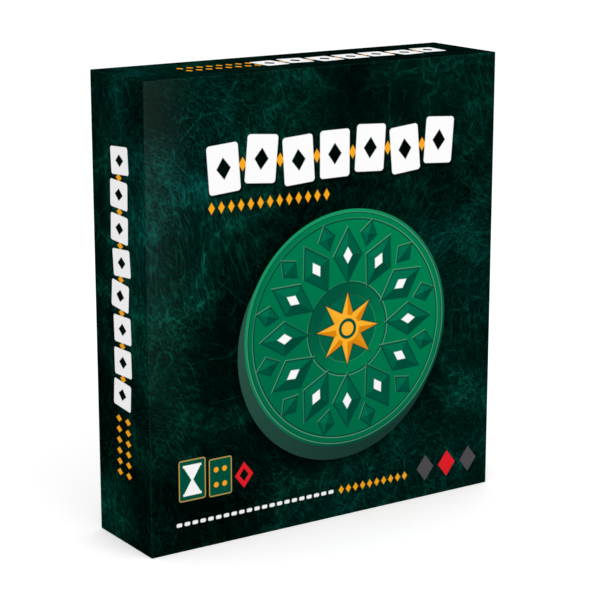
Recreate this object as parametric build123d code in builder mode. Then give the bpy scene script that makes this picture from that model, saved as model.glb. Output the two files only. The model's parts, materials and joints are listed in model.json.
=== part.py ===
from build123d import *
import os
from math import cos, hypot, radians, sin, tan

# Word board game: a telescope box that stands on its short edge, front facing -Y.
# Inside are a formed tray, a turntable with tile wells, stored letter tiles and the rules.
# Origin: middle of the box's footprint, on the surface that the box stands on.

# Box, overall
box_width = 240.0
box_height = 270.0
box_depth = 60.0
board = 1.8                 # greyboard of the lid and base
paper = 0.3                 # printed wrap
turn_in = 15.0              # wrap folded in over each rim
wrap_corner = 0.6           # rounding of the wrapped edges
lid_slack = 0.5             # lid's turn-in to base, each side
rim_gap = 0.3               # base rim to the lid's floor
stay_leg = 12.0             # corner stay, width of each leg
stay_thickness = 0.2
stay_inset = 1.0            # stay strip stops this far short of each end

# Formed tray
sheet = 1.0                 # formed plastic sheet
tray_slack = 0.5            # tray skirt to base turn-in, each side
tray_draft = 2.5            # degrees
tray_corner = 6.0
tray_drop = 2.6             # flange below the base rim
mouth_bevel = 0.9           # where the sheet turns into the stand's recess
lift_gap = 0.3              # a loose piece to the surface that it lies on
edge_land = 4.5             # flat flange above and below the stand's recess
channel_land = 4.0          # flat flange between two tile channels
channel_draft = 1.0
channel_length = 190.0
channel_play = 0.7          # tile to channel wall, each side
pocket_sides = 8            # corner pocket
pocket_mouth = 11.0         # middle to each side, at the flange
pocket_draft = 6.0
pocket_spread_x = 95.0      # corner pockets, from the middle of the tray
pocket_upper = 73.0         # corner pockets above and below the stand's axis
pocket_lower = 75.0

# Letter tiles
tile_side = 19.0
tile_thick = 5.0
tile_bevel = 0.5
row_tiles = 28
row_pitch = 5.1             # tiles stand face to face in a channel
finger_room = 6.0           # first tile to the channel's end

# Stand, heights above the underside of its pads
deck_width = 140.0
deck_cut = 28.0             # cut corner, along each side
deck_bottom = 8.4
deck_top = 34.0
deck_wall = 2.4
deck_draft = 3.0
deck_bevel = 2.2
wells_per_side = 4
well_play = 0.3             # tile to well wall, each side
well_rib = 0.9
well_depth = 3.2
dial_radius = 33.5          # round recess in the middle of the deck
dial_depth = 2.6
bead_inner = 34.9           # raised ring round the dial
bead_outer = 36.5
bead_high = 0.8
bead_draft = 20.0
facet_near = 23.0           # triangular facets between dial and rows
facet_far = 38.4
facet_depth = 1.2
facet_draft = 40.0
rib_thick = 1.6
rib_count = 8
rib_rise = 0.6              # deck ribs start this far above the hub's end
hub_radius = 8.0
deck_turn_room = 4.0        # stand's corners to the recess wall, at the flange

plate_thick = 2.4
plate_play = 0.3
plate_gap = 0.6             # plate above the deck's lower edge
collar_radius = 13.0
collar_height = 3.6
bearing_play = 0.05         # radial, collar on the foot's boss
screw_spread = 45.0         # deck screws, from the axis along X and Z
screw_boss = 4.2
screw_shank = 1.5
screw_head = 2.8
screw_head_high = 1.6
screw_length = 12.0
screw_hole_play = 0.2

foot_radius = 59.0
foot_plate = 3.0
foot_wall = 2.2
foot_rim_gap = 1.2          # foot rim to the deck plate
foot_boss = 10.0
boss_top = 16.0
hub_gap = 0.1               # deck's hub above the foot's boss
ring_inner = 42.0
ring_outer = 48.0
ring_play = 0.2
ring_rib = 1.4
ring_rib_high = 2.2
foot_ribs = 8
pad_count = 4
pad_radius = 7.0
pad_thick = 2.5
pad_sunk = 1.2
pad_ring = 50.5
pad_play = 0.1

shoulder_radius = 3.0
shoulder_play = 0.05        # radial, spindle in the foot
head_radius = 5.5
head_high = 2.6
head_room = 7.6             # radius of the recess for washer and head
washer_radius = 7.0
washer_thick = 1.0
washer_seat = 5.3
thread_radius = 1.95
thread_play = 0.05          # radial, screws in their bosses
thread_length = 10.0
hole_extra = 0.6            # screw holes run on past the tip
socket_radius = 1.8
socket_depth = 1.4

cap_play = 0.2
cap_thick = 2.2
cap_rim = 2.4
cap_dish = 0.8
cap_crown = 0.5             # crown of the dished middle

# Rules booklet
rules_width = 148.0
rules_height = 205.0
cover_thick = 0.3
pages_thick = 0.8
pages_short = 1.0           # pages stop short of the cover's edge
staple_wire = 0.5
staple_length = 12.0
staple_spread = 110.0
staple_leg = 4.0


def facing(y):
    """Plane parallel to the box's front at y: sketch x is X, sketch y is Z, extrudes go forward."""
    return Plane(origin=(0, y, 0), x_dir=(1, 0, 0), z_dir=(0, -1, 0))


# Depth positions of the box, front at -Y
middle_z = box_height / 2
lid_front = -box_depth / 2
back = box_depth / 2
lid_floor = lid_front + paper + board
base_rim = lid_floor + rim_gap
base_floor = back - paper - board

# Widths and heights of the nested walls
lid_board_width = box_width - 2 * paper
lid_board_height = box_height - 2 * paper
lid_inner_width = lid_board_width - 2 * board
lid_inner_height = lid_board_height - 2 * board
base_width = lid_inner_width - 2 * (paper + lid_slack)
base_height = lid_inner_height - 2 * (paper + lid_slack)
base_board_width = base_width - 2 * paper
base_board_height = base_height - 2 * paper
base_inner_width = base_board_width - 2 * board
base_inner_height = base_board_height - 2 * board


def corner_stays(part_name, width, height, y_from, y_to):
    """Four L strips let flush into the outside of a board shell, along its depth edges."""
    with BuildPart() as stays:
        with BuildSketch(facing(y_from - stay_inset)):
            with Locations((0, middle_z)):
                with GridLocations(width - stay_leg, height - stay_leg, 2, 2):
                    Rectangle(stay_leg, stay_leg)
                Rectangle(width - 2 * stay_thickness, height - 2 * stay_thickness, mode=Mode.SUBTRACT)
        extrude(amount=y_from - y_to - 2 * stay_inset)
    stays.part.label = part_name
    return stays


def board_shell(part_name, width, height, y_closed, y_open, stays):
    """Open box of greyboard: closed panel at y_closed, rim at y_open."""
    low, high = min(y_closed, y_open), max(y_closed, y_open)
    with BuildPart() as shell:
        with BuildSketch(facing(high)):
            with Locations((0, middle_z)):
                Rectangle(width, height)
        extrude(amount=high - low)
        inside_from = high if y_open > y_closed else high - board
        with BuildSketch(facing(inside_from)):
            with Locations((0, middle_z)):
                Rectangle(width - 2 * board, height - 2 * board)
        extrude(amount=high - low - board, mode=Mode.SUBTRACT)
        add(stays.part, mode=Mode.SUBTRACT)
    shell.part.label = part_name
    return shell


def paper_wrap(part_name, width, height, y_closed, y_open):
    """Paper over a board shell of that outer size, folded over its rim and turned in."""
    low, high = min(y_closed, y_open), max(y_closed, y_open)
    with BuildPart() as wrap:
        with BuildSketch(facing(high)):
            with Locations((0, middle_z)):
                Rectangle(width, height)
        extrude(amount=high - low)
        fillet([edge for edge in wrap.edges() if abs(edge.center().Y - y_open) > paper], wrap_corner)
        # the board's own space
        with BuildSketch(facing(high - paper)):
            with Locations((0, middle_z)):
                Rectangle(width - 2 * paper, height - 2 * paper)
        extrude(amount=high - low - 2 * paper, mode=Mode.SUBTRACT)
        # the flap inside the rim
        flap_high = high if y_open == high else low + turn_in
        inner_width = width - 2 * (paper + board)
        inner_height = height - 2 * (paper + board)
        with BuildSketch(facing(flap_high)):
            with Locations((0, middle_z)):
                Rectangle(inner_width, inner_height)
        extrude(amount=turn_in)
        with BuildSketch(facing(flap_high)):
            with Locations((0, middle_z)):
                Rectangle(inner_width - 2 * paper, inner_height - 2 * paper)
        extrude(amount=turn_in, mode=Mode.SUBTRACT)
    wrap.part.label = part_name
    return wrap


lid_corner_stays = corner_stays(
    "lid_corner_stays", lid_board_width, lid_board_height, back - paper, lid_front + paper
)
lid_board = board_shell(
    "lid_board", lid_board_width, lid_board_height, lid_front + paper, back - paper, lid_corner_stays
)
lid_wrap = paper_wrap("lid_wrap", box_width, box_height, lid_front, back)

base_corner_stays = corner_stays(
    "base_corner_stays", base_board_width, base_board_height, back - paper, base_rim + paper
)
base_board = board_shell(
    "base_board", base_board_width, base_board_height, back - paper, base_rim + paper, base_corner_stays
)
base_wrap = paper_wrap("base_wrap", base_width, base_height, back, base_rim)

# Tray: a sheet drawn over a mould, so every wall has draft and one thickness
tray_width = base_inner_width - 2 * (paper + tray_slack)
tray_height = base_inner_height - 2 * (paper + tray_slack)
flange = base_rim + tray_drop
tray_deep = base_floor - flange
flange_shrink = 2 * tray_deep * tan(radians(tray_draft))
flange_top = middle_z + tray_height / 2 - flange_shrink / 2

# Stand, seated in the tray's round recess with its tiles just below the flange
stand_high = deck_top - well_depth + tile_thick
stand_bottom = flange + lift_gap + stand_high
corner_reach = hypot(deck_width / 2, deck_width / 2 - deck_cut)
recess_radius = corner_reach + deck_turn_room
recess_deep = stand_high + 2 * lift_gap
axis_z = flange_top - edge_land - recess_radius

# Tile channels below the stand
channel_wide = tile_side + 2 * channel_play
channel_deep = tile_side + 2 * lift_gap
channel_pitch = channel_wide + channel_land
channel_top = axis_z - recess_radius - edge_land - channel_wide / 2
flange_foot = middle_z - tray_height / 2 + flange_shrink / 2
channel_room = channel_top + channel_wide / 2 - flange_foot - sheet
row_count = int((channel_room + channel_land) // channel_pitch)
channel_heights = [channel_top - i * channel_pitch for i in range(row_count)]
first_tile = -channel_length / 2 + finger_room

pocket_places = [
    (side * pocket_spread_x, axis_z + rise) for side in (-1, 1) for rise in (pocket_upper, -pocket_lower)
]


def cup_sketch(plane, grow):
    """Mouths of the stand recess and the tile channels, grown by the sheet's thickness."""
    with BuildSketch(plane) as mouths:
        with Locations((0, axis_z)):
            Circle(recess_radius + grow)
    with BuildSketch(plane) as slots:
        with Locations([(0, z) for z in channel_heights]):
            Rectangle(channel_length + 2 * grow, channel_wide + 2 * grow)
    with BuildSketch(plane) as pockets:
        with Locations(pocket_places):
            RegularPolygon(pocket_mouth + grow, pocket_sides, major_radius=False)
    return mouths, slots, pockets


with BuildPart() as storage_tray:
    with BuildSketch(facing(base_floor)):
        with Locations((0, middle_z)):
            RectangleRounded(tray_width, tray_height, tray_corner)
    extrude(amount=tray_deep, taper=tray_draft)
    with BuildSketch(facing(base_floor)):
        with Locations((0, middle_z)):
            RectangleRounded(tray_width - 2 * sheet, tray_height - 2 * sheet, tray_corner - sheet)
    extrude(amount=tray_deep - sheet, taper=tray_draft, mode=Mode.SUBTRACT)
    outer_cups = cup_sketch(facing(flange), sheet)
    cup_depths = (recess_deep, channel_deep, tray_deep - sheet)
    cup_drafts = (0, channel_draft, pocket_draft)
    for cup, deep, draft in zip(outer_cups, cup_depths, cup_drafts):
        extrude(cup.sketch, amount=-(deep + sheet), taper=draft)
    inner_cups = cup_sketch(facing(flange), 0)
    for cup, deep, draft in zip(inner_cups, cup_depths, cup_drafts):
        extrude(cup.sketch, amount=-deep, taper=draft, mode=Mode.SUBTRACT)
    flange_edges = storage_tray.faces().sort_by(Axis.Y)[0].edges()
    chamfer(flange_edges.filter_by(GeomType.CIRCLE).sort_by(Edge.length)[-1], mouth_bevel)
storage_tray.part.label = "storage_tray"


def stand_plane(h):
    """Plane across the stand's axis, h above the underside of its pads."""
    return Plane(origin=(0, stand_bottom - h, axis_z), x_dir=(1, 0, 0), z_dir=(0, -1, 0))


def cut_square(half, cut):
    """Points of a square with cut corners, half its width and the length of each cut."""
    flat = half - cut
    return [
        (half, -flat), (half, flat), (flat, half), (-flat, half),
        (-half, flat), (-half, -flat), (-flat, -half), (flat, -half),
    ]


def deck_outline(plane, inset):
    """The deck's outline at its lower edge, moved inward by inset all round."""
    half = deck_width / 2 - inset
    cut = deck_cut - inset * (2 - 2 ** 0.5)
    with BuildSketch(plane) as outline:
        Polygon(*cut_square(half, cut), align=None)
    return outline


# Heights that the pieces of the stand share
plate_low = deck_bottom + plate_gap
plate_top = plate_low + plate_thick
hub_low = boss_top + hub_gap
rib_low = hub_low + rib_rise
dial_floor = deck_top - dial_depth
screw_places = [(a * screw_spread, b * screw_spread) for a in (-1, 1) for b in (-1, 1)]
stand_axis = Axis((0, stand_bottom, axis_z), (0, -1, 0))
stand_section = Plane(origin=(0, stand_bottom, axis_z), x_dir=(1, 0, 0), z_dir=(0, 0, -1))
quarter_turns = [Location((0, 0, 0), (0, 0, 90 * quarter)) for quarter in range(4)]

# Wells: four rows round a square whose corners stay free
well_side = tile_side + 2 * well_play
well_pitch = well_side + well_rib
row_radius = (wells_per_side + 1) / 2 * well_pitch
row_length = wells_per_side * well_pitch + well_rib
row_steps = [(i - (wells_per_side - 1) / 2) * well_pitch for i in range(wells_per_side)]
well_places = [
    (row_radius * cos(turn) - along * sin(turn), row_radius * sin(turn) + along * cos(turn))
    for turn in (radians(90 * quarter) for quarter in range(4))
    for along in row_steps
]
facet_corners = [(facet_far, facet_far), (facet_near, facet_far), (facet_far, facet_near)]

with BuildPart() as stand_deck:
    deck_outer = deck_outline(stand_plane(deck_bottom), 0)
    extrude(deck_outer.sketch, amount=deck_top - deck_bottom, taper=deck_draft)
    chamfer(stand_deck.faces().sort_by(Axis.Y)[0].edges(), deck_bevel)
    deck_inner = deck_outline(stand_plane(deck_bottom), deck_wall)
    inner_high = deck_top - deck_bottom - deck_wall
    extrude(deck_inner.sketch, amount=inner_high, taper=deck_draft, mode=Mode.SUBTRACT)
    # floors of the well rows and of the dial, below the top wall
    with BuildSketch(stand_plane(deck_top - well_depth - deck_wall)):
        for turn in quarter_turns:
            with Locations(turn * Location((row_radius, 0, 0))):
                Rectangle(well_side + 2 * deck_wall, row_length + deck_wall)
        Circle(dial_radius + deck_wall)
    extrude(amount=well_depth + deck_wall / 2)
    # hub, screw bosses and ribs that hang from them
    with BuildSketch(stand_plane(hub_low)):
        Circle(hub_radius)
    extrude(amount=dial_floor - hub_low)
    with BuildSketch(stand_plane(plate_top)):
        with Locations(screw_places):
            Circle(screw_boss)
    extrude(amount=deck_top - deck_wall - plate_top)
    with BuildSketch(stand_plane(rib_low)):
        with PolarLocations((dial_radius + hub_radius) / 2, rib_count, start_angle=180 / rib_count):
            Rectangle(dial_radius - hub_radius + deck_wall, rib_thick)
    extrude(amount=dial_floor - rib_low)
    # ring round the dial
    with BuildSketch(stand_plane(deck_top)):
        Circle(bead_outer)
        Circle(bead_inner, mode=Mode.SUBTRACT)
    extrude(amount=bead_high, taper=bead_draft)
    # wells, dial and facets
    with BuildSketch(stand_plane(deck_top)):
        with Locations(well_places):
            Rectangle(well_side, well_side)
    extrude(amount=-well_depth, mode=Mode.SUBTRACT)
    with BuildSketch(stand_plane(deck_top)):
        Circle(dial_radius)
    extrude(amount=-dial_depth, mode=Mode.SUBTRACT)
    with BuildSketch(stand_plane(deck_top)):
        with Locations(quarter_turns):
            Polygon(*facet_corners, align=None)
    extrude(amount=-facet_depth, taper=facet_draft, mode=Mode.SUBTRACT)
    # holes for the spindle's thread and the four screws
    with BuildSketch(stand_plane(hub_low)):
        Circle(thread_radius + thread_play)
    extrude(amount=thread_length + hole_extra, mode=Mode.SUBTRACT)
    with BuildSketch(stand_plane(plate_top)):
        with Locations(screw_places):
            Circle(screw_shank + thread_play)
    extrude(amount=screw_length + plate_low - plate_top + hole_extra, mode=Mode.SUBTRACT)
stand_deck.part.label = "stand_deck"

with BuildPart() as deck_plate:
    plate_outer = deck_outline(stand_plane(plate_low), deck_wall + plate_play)
    extrude(plate_outer.sketch, amount=plate_thick)
    with BuildSketch(stand_plane(plate_top)):
        Circle(collar_radius)
    extrude(amount=collar_height)
    with BuildSketch(stand_plane(plate_low)):
        Circle(foot_boss + bearing_play)
    extrude(amount=plate_thick + collar_height, mode=Mode.SUBTRACT)
    with BuildSketch(stand_plane(plate_low)):
        with Locations(screw_places):
            Circle(screw_head + screw_hole_play)
    extrude(amount=screw_head_high, mode=Mode.SUBTRACT)
    with BuildSketch(stand_plane(plate_low)):
        with Locations(screw_places):
            Circle(screw_shank + screw_hole_play)
    extrude(amount=plate_thick, mode=Mode.SUBTRACT)
deck_plate.part.label = "deck_plate"

with BuildPart() as deck_screws:
    with BuildSketch(stand_plane(plate_low)):
        with Locations(screw_places):
            Circle(screw_head)
    extrude(amount=screw_head_high)
    with BuildSketch(stand_plane(plate_low)):
        with Locations(screw_places):
            Circle(screw_shank)
    extrude(amount=screw_length)
deck_screws.part.label = "deck_screws"

with BuildPart() as centre_cap:
    cap_edge = dial_radius - cap_play
    cap_top = dial_floor + cap_thick
    dish_edge = cap_edge - cap_rim - cap_dish
    with BuildSketch(stand_section):
        with BuildLine():
            Polyline(
                (0, cap_top - cap_dish + cap_crown), (0, dial_floor), (cap_edge, dial_floor),
                (cap_edge, cap_top), (cap_edge - cap_rim, cap_top), (dish_edge, cap_top - cap_dish),
            )
            RadiusArc(
                (dish_edge, cap_top - cap_dish), (0, cap_top - cap_dish + cap_crown),
                -(dish_edge ** 2 + cap_crown ** 2) / (2 * cap_crown),
            )
        make_face()
    revolve(axis=stand_axis)
centre_cap.part.label = "centre_cap"

head_top = washer_seat - washer_thick
with BuildPart() as spindle_screw:
    with BuildSketch(stand_plane(head_top - head_high)):
        Circle(head_radius)
    extrude(amount=head_high)
    with BuildSketch(stand_plane(head_top)):
        Circle(shoulder_radius)
    extrude(amount=hub_low - head_top)
    with BuildSketch(stand_plane(hub_low)):
        Circle(thread_radius)
    extrude(amount=thread_length)
    with BuildSketch(stand_plane(head_top - head_high)):
        RegularPolygon(socket_radius, 6)
    extrude(amount=socket_depth, mode=Mode.SUBTRACT)
spindle_screw.part.label = "spindle_screw"

with BuildPart() as spindle_washer:
    with BuildSketch(stand_plane(head_top)):
        Circle(washer_radius)
        Circle(shoulder_radius + shoulder_play, mode=Mode.SUBTRACT)
    extrude(amount=washer_thick)
spindle_washer.part.label = "spindle_washer"

# Foot: turned section with boss, ring channel and rim, then ribs and pad pockets
foot_low = pad_thick - pad_sunk
foot_seat = foot_low + foot_plate
foot_rim = plate_low - foot_rim_gap
bore_radius = shoulder_radius + shoulder_play
channel_in = ring_inner - ring_play
channel_out = ring_outer + ring_play
ring_rib_top = foot_seat + ring_rib_high
with BuildPart() as stand_foot:
    with BuildSketch(stand_section):
        Polygon(
            (bore_radius, washer_seat), (bore_radius, boss_top), (foot_boss, boss_top),
            (foot_boss, foot_seat), (channel_in - ring_rib, foot_seat),
            (channel_in - ring_rib, ring_rib_top),
            (channel_in, ring_rib_top), (channel_in, foot_seat), (channel_out, foot_seat),
            (channel_out, ring_rib_top), (channel_out + ring_rib, ring_rib_top),
            (channel_out + ring_rib, foot_seat), (foot_radius - foot_wall, foot_seat),
            (foot_radius - foot_wall, foot_rim), (foot_radius, foot_rim), (foot_radius, foot_low),
            (head_room, foot_low), (head_room, washer_seat),
            align=None,
        )
    revolve(axis=stand_axis)
    with BuildSketch(stand_plane(foot_seat)):
        with PolarLocations((foot_boss + channel_in - ring_rib) / 2, foot_ribs):
            Rectangle(channel_in - ring_rib - foot_boss + ring_rib, rib_thick)
    extrude(amount=ring_rib_high)
    with BuildSketch(stand_plane(foot_low)):
        with PolarLocations(pad_ring, pad_count, start_angle=180 / pad_count):
            Circle(pad_radius + pad_play)
    extrude(amount=pad_sunk, mode=Mode.SUBTRACT)
stand_foot.part.label = "stand_foot"

with BuildPart() as glide_ring:
    with BuildSketch(stand_plane(foot_seat)):
        Circle(ring_outer)
        Circle(ring_inner, mode=Mode.SUBTRACT)
    extrude(amount=plate_low - foot_seat)
glide_ring.part.label = "glide_ring"

with BuildPart() as foot_pads:
    with BuildSketch(stand_plane(0)):
        with PolarLocations(pad_ring, pad_count, start_angle=180 / pad_count):
            Circle(pad_radius)
    extrude(amount=pad_thick)
foot_pads.part.label = "foot_pads"

# Letter tiles: one shape, in the wells and on edge in the channels
with BuildPart() as letter_tile:
    Box(tile_side, tile_thick, tile_side)
    chamfer(letter_tile.faces().sort_by(Axis.Y)[0].edges(), tile_bevel)

well_tile_y = stand_bottom - (deck_top - well_depth + tile_thick / 2)
with BuildPart() as stand_tiles:
    with Locations([(x, well_tile_y, axis_z + z) for x, z in well_places]):
        add(letter_tile.part)
stand_tiles.part.label = "stand_tiles"

row_tile_y = flange + lift_gap + tile_side / 2
tile_rows = []
for row, row_z in enumerate(channel_heights):
    with BuildPart() as tile_row:
        with Locations([
            Location((first_tile + row_pitch * i + tile_thick / 2, row_tile_y, row_z), (0, 0, 90))
            for i in range(row_tiles)
        ]):
            add(letter_tile.part)
    tile_row.part.label = "tile_row_" + str(row + 1)
    tile_rows.append(tile_row)

# Rules: folded cover, its pages and two staples through the fold
rules_back = flange - lift_gap
rules_thick = pages_thick + 2 * cover_thick
spine = -rules_width / 2
with BuildPart() as rules_staples:
    with BuildSketch(facing(rules_back - (rules_thick - staple_wire) / 2)):
        for end in (-1, 1):
            staple_z = middle_z + end * staple_spread / 2
            with Locations((spine - staple_wire / 2, staple_z)):
                Rectangle(staple_wire, staple_length)
            leg_rise = (staple_length - staple_wire) / 2
            with Locations((spine, staple_z - leg_rise), (spine, staple_z + leg_rise)):
                Rectangle(staple_leg, staple_wire, align=(Align.MIN, Align.CENTER))
    extrude(amount=staple_wire)
rules_staples.part.label = "rules_staples"

with BuildPart() as rules_cover:
    with BuildSketch(facing(rules_back)):
        with Locations((0, middle_z)):
            Rectangle(rules_width, rules_height)
    extrude(amount=rules_thick)
    with BuildSketch(facing(rules_back - cover_thick)):
        with Locations((cover_thick / 2, middle_z)):
            Rectangle(rules_width - cover_thick, rules_height)
    extrude(amount=pages_thick, mode=Mode.SUBTRACT)
    add(rules_staples.part, mode=Mode.SUBTRACT)
rules_cover.part.label = "rules_cover"

with BuildPart() as rules_pages:
    with BuildSketch(facing(rules_back - cover_thick)):
        with Locations((spine + cover_thick, middle_z)):
            Rectangle(
                rules_width - cover_thick - pages_short, rules_height - 2 * pages_short,
                align=(Align.MIN, Align.CENTER),
            )
    extrude(amount=pages_thick)
    add(rules_staples.part, mode=Mode.SUBTRACT)
rules_pages.part.label = "rules_pages"

os.makedirs("parts", exist_ok=True)
pieces = [
    lid_board, lid_corner_stays, lid_wrap, base_board, base_corner_stays, base_wrap, storage_tray,
    stand_foot, foot_pads, glide_ring, spindle_washer, spindle_screw, stand_deck, deck_plate,
    deck_screws, centre_cap, stand_tiles, *tile_rows, rules_cover, rules_pages, rules_staples,
]
for piece in pieces:
    export_step(piece.part, "parts/" + piece.part.label + ".step")
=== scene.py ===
import bpy
import json
from math import atan2, cos, pi, radians, sin
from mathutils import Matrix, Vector

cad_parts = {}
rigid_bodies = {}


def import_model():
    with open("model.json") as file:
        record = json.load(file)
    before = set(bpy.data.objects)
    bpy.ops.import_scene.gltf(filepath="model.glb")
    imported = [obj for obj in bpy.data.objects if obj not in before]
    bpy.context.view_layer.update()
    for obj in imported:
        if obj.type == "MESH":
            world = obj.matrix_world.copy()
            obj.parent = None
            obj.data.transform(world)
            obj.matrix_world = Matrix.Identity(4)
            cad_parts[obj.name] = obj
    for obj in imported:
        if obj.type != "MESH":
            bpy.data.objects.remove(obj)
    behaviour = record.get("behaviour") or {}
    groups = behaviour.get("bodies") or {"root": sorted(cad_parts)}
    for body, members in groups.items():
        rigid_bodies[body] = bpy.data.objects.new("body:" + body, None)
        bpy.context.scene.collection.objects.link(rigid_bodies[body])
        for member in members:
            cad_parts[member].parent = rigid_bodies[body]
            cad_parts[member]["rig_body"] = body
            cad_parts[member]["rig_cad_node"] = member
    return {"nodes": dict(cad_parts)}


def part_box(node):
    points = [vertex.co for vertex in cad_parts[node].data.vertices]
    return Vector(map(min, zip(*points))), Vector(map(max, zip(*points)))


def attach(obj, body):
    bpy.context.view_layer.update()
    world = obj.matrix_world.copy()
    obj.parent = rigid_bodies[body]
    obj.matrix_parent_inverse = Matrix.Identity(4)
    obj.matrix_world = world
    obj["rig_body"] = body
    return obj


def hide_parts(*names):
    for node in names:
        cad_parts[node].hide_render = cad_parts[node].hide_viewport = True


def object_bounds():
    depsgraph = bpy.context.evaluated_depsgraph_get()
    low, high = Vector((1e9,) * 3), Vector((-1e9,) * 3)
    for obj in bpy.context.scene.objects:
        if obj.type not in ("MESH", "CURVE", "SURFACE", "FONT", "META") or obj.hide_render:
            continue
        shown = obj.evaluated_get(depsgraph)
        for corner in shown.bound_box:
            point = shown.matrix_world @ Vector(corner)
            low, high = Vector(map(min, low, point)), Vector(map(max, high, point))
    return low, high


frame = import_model()
cad_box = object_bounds()
nodes = frame["nodes"]

# Base board and lid board: two open shells of grey solid board, cut, scored and folded up.
# The board is made of waste paper, so its bare inside shows short fibres and dark flecks.


class Paint:
    """A node's output. Arithmetic on it adds Math nodes, and add() adds any other node."""

    def __init__(self, socket):
        self.socket = socket
        self.tree = socket.id_data

    def add(self, kind, settings=None, inputs=None, output=0):
        """A node of that kind: its settings, then the values or links of its sockets."""
        node = self.tree.nodes.new("ShaderNode" + kind)
        for name, value in (settings or {}).items():
            setattr(node, name, value)
        for name, value in (inputs or {}).items():
            if isinstance(value, Paint):
                self.tree.links.new(value.socket, node.inputs[name])
            else:
                node.inputs[name].default_value = value
        return Paint(node.outputs[output])

    def math(self, operation, *others):
        """The operation on this value, and on the others where it takes more than one."""
        return self.add("Math", {"operation": operation}, dict(enumerate((self, *others))))

    def __add__(self, other):
        return self.math("ADD", other)

    def __sub__(self, other):
        return self.math("SUBTRACT", other)

    def __rsub__(self, other):
        return self.add("Math", {"operation": "SUBTRACT"}, {0: other, 1: self})

    def __mul__(self, other):
        return self.math("MULTIPLY", other)

    def __truediv__(self, other):
        return self.math("DIVIDE", other)

    def __pow__(self, power):
        return self.math("POWER", power)

    def __neg__(self):
        return self * -1.0

    def __abs__(self):
        return self.math("ABSOLUTE")

    __radd__ = __add__
    __rmul__ = __mul__

    def most(self, other):
        return self.math("MAXIMUM", other)

    def least(self, other):
        return self.math("MINIMUM", other)

    def wave(self):
        """Its sine, brought to the range from 0 to 1."""
        return self.math("SINE").ramp(-1.0, 1.0)

    def ramp(self, low, high, start=0.0, end=1.0):
        """From start to end while the value goes from low to high, held beyond both."""
        return self.add("MapRange", None, {0: self, 1: low, 2: high, 3: start, 4: end})

    def parts(self):
        """X, Y and Z of a vector."""
        split = self.add("SeparateXYZ", None, {0: self})
        return [Paint(output) for output in split.socket.node.outputs]

    def vector(self, operation, other):
        return self.add("VectorMath", {"operation": operation}, {0: self, 1: other})

    def stretched(self, scale, turn=(0, 0, 0)):
        """The coordinates turned and then scaled, so that a grain runs along one way."""
        turned = self.add("Mapping", None, {"Vector": self, "Rotation": turn})
        return turned.add("Mapping", None, {"Vector": turned, "Scale": scale})

    def noise(self, scale, detail=3.0, roughness=0.5, output=0):
        sockets = {"Vector": self, "Scale": scale, "Detail": detail, "Roughness": roughness}
        return self.add("TexNoise", None, sockets, output)

    def cell_edge(self, scale):
        """How far a point is from the edge of its cell, in a net of uneven cells."""
        sockets = {"Vector": self, "Scale": scale}
        return self.add("TexVoronoi", {"feature": "DISTANCE_TO_EDGE"}, sockets)

    def blend(self, first, second):
        """First colour where the value is 0, second where it is 1."""
        return self.add("Mix", {"data_type": "RGBA"}, {0: self, 6: first, 7: second}, 2)

    def bump(self, strength, depth):
        return self.add("Bump", None, {"Height": self, "Strength": strength, "Distance": depth})


def ink(red, green, blue):
    """A colour given in screen values from 0 to 255, as a shader takes it: the sRGB curve undone."""
    linear = [
        (part / 255 / 12.92 if part <= 10 else ((part / 255 + 0.055) / 1.055) ** 2.4)
        for part in (red, green, blue)
    ]
    return (*linear, 1.0)


def new_finish(name, **fixed):
    """A material with its fixed socket values, its shader, and its object coordinates."""
    finish = bpy.data.materials.new(name)
    finish.use_nodes = True
    shader = finish.node_tree.nodes["Principled BSDF"]
    for socket, value in fixed.items():
        shader.inputs[socket.replace("_", " ")].default_value = value
    place = Paint(shader.outputs["BSDF"]).add("TexCoord", output="Object")
    return finish, shader, place


def connect(shader, **links):
    for socket, paint in links.items():
        paint.tree.links.new(paint.socket, shader.inputs[socket.replace("_", " ")])


def wear(node, finish):
    """Puts a finish on a CAD node or on a piece, in all its material slots."""
    node.data.materials.clear()
    node.data.materials.append(finish)


def greyboard_finish():
    finish, shader, place = new_finish("greyboard", Specular_IOR_Level=0.15)
    fibres = place.stretched((1.0, 1.0, 0.25), (0.3, 0.2, 0.5)).noise(2600, 4, 0.65)
    cloud = place.noise(70, 3)
    flecks = place.noise(1500, 1).ramp(0.68, 0.74)
    tone = (fibres * 0.6 + cloud * 0.4).ramp(0.35, 0.68)
    colour = tone.blend(ink(142, 136, 126), ink(176, 170, 158))
    colour = (flecks * 0.7).blend(colour, ink(92, 86, 80))
    connect(shader, Base_Color=colour, Roughness=fibres.ramp(0.3, 0.7, 0.82, 0.95))
    connect(shader, Normal=(fibres * 0.7 + cloud).bump(0.35, 0.0003))
    return finish


greyboard = greyboard_finish()
wear(nodes["base_board"], greyboard)
wear(nodes["lid_board"], greyboard)

# Corner stays: strips of brown kraft paper, wetted and pressed round the four upright folds.
# They hold each shell square before its printed paper goes on.
KRAFT_RIBS = 4200          # fine lines in the paper, in radians of their wave per metre


def kraft_finish():
    finish, shader, place = new_finish("kraft_stay_paper", Specular_IOR_Level=0.2)
    fibres = place.stretched((1.0, 0.2, 1.0)).noise(3000, 4, 0.6)
    ribs = (place.parts()[1] * KRAFT_RIBS).wave()
    colour = (fibres * 0.8 + ribs * 0.1).ramp(0.3, 0.7).blend(ink(150, 112, 72), ink(186, 148, 102))
    connect(shader, Base_Color=colour, Roughness=fibres.ramp(0.3, 0.7, 0.7, 0.88))
    connect(shader, Normal=fibres.bump(0.3, 0.0002))
    return finish


kraft = kraft_finish()
wear(nodes["base_corner_stays"], kraft)
wear(nodes["lid_corner_stays"], kraft)

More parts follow.
